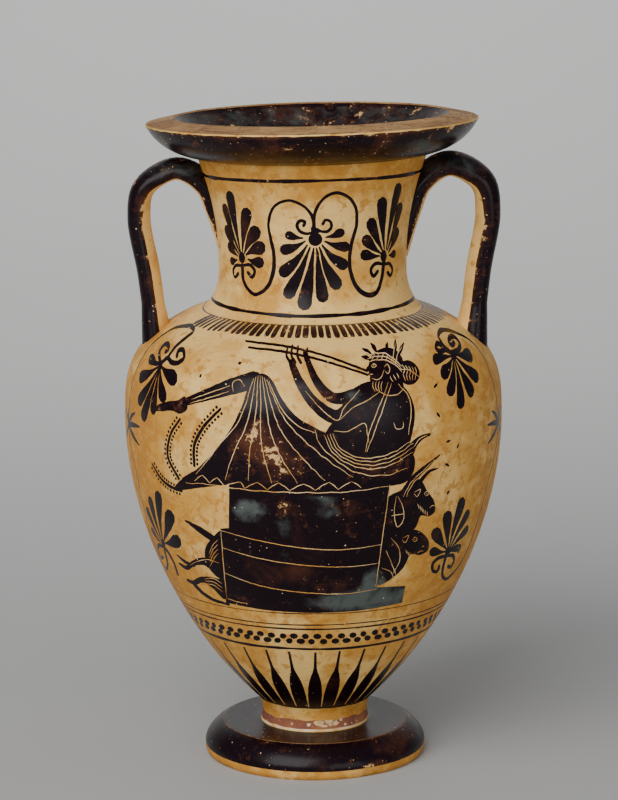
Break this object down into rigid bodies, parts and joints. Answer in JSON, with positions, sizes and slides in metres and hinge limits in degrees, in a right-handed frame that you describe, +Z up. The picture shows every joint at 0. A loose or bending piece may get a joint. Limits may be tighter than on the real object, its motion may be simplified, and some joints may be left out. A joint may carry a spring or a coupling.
{
  "type": "neck amphora",
  "caption": "Neck amphora of fired clay in the black-figure manner: ovoid body, concave neck, flared bowl mouth, disc foot and upright handles from neck to shoulder.",
  "frame": {"origin": "on the ground under the middle of the foot", "axes": "+Z up along the vessel's axis, X through the two handles, the main picture faces -Y"},
  "size_m": [0.1736, 0.1736, 0.3014],
  "materials": {
    "painted_clay": "fired clay with a satin black slip, worn"
  },
  "bodies": {
    "root": {"amphora": "painted_clay"}
  },
  "joints": []
}
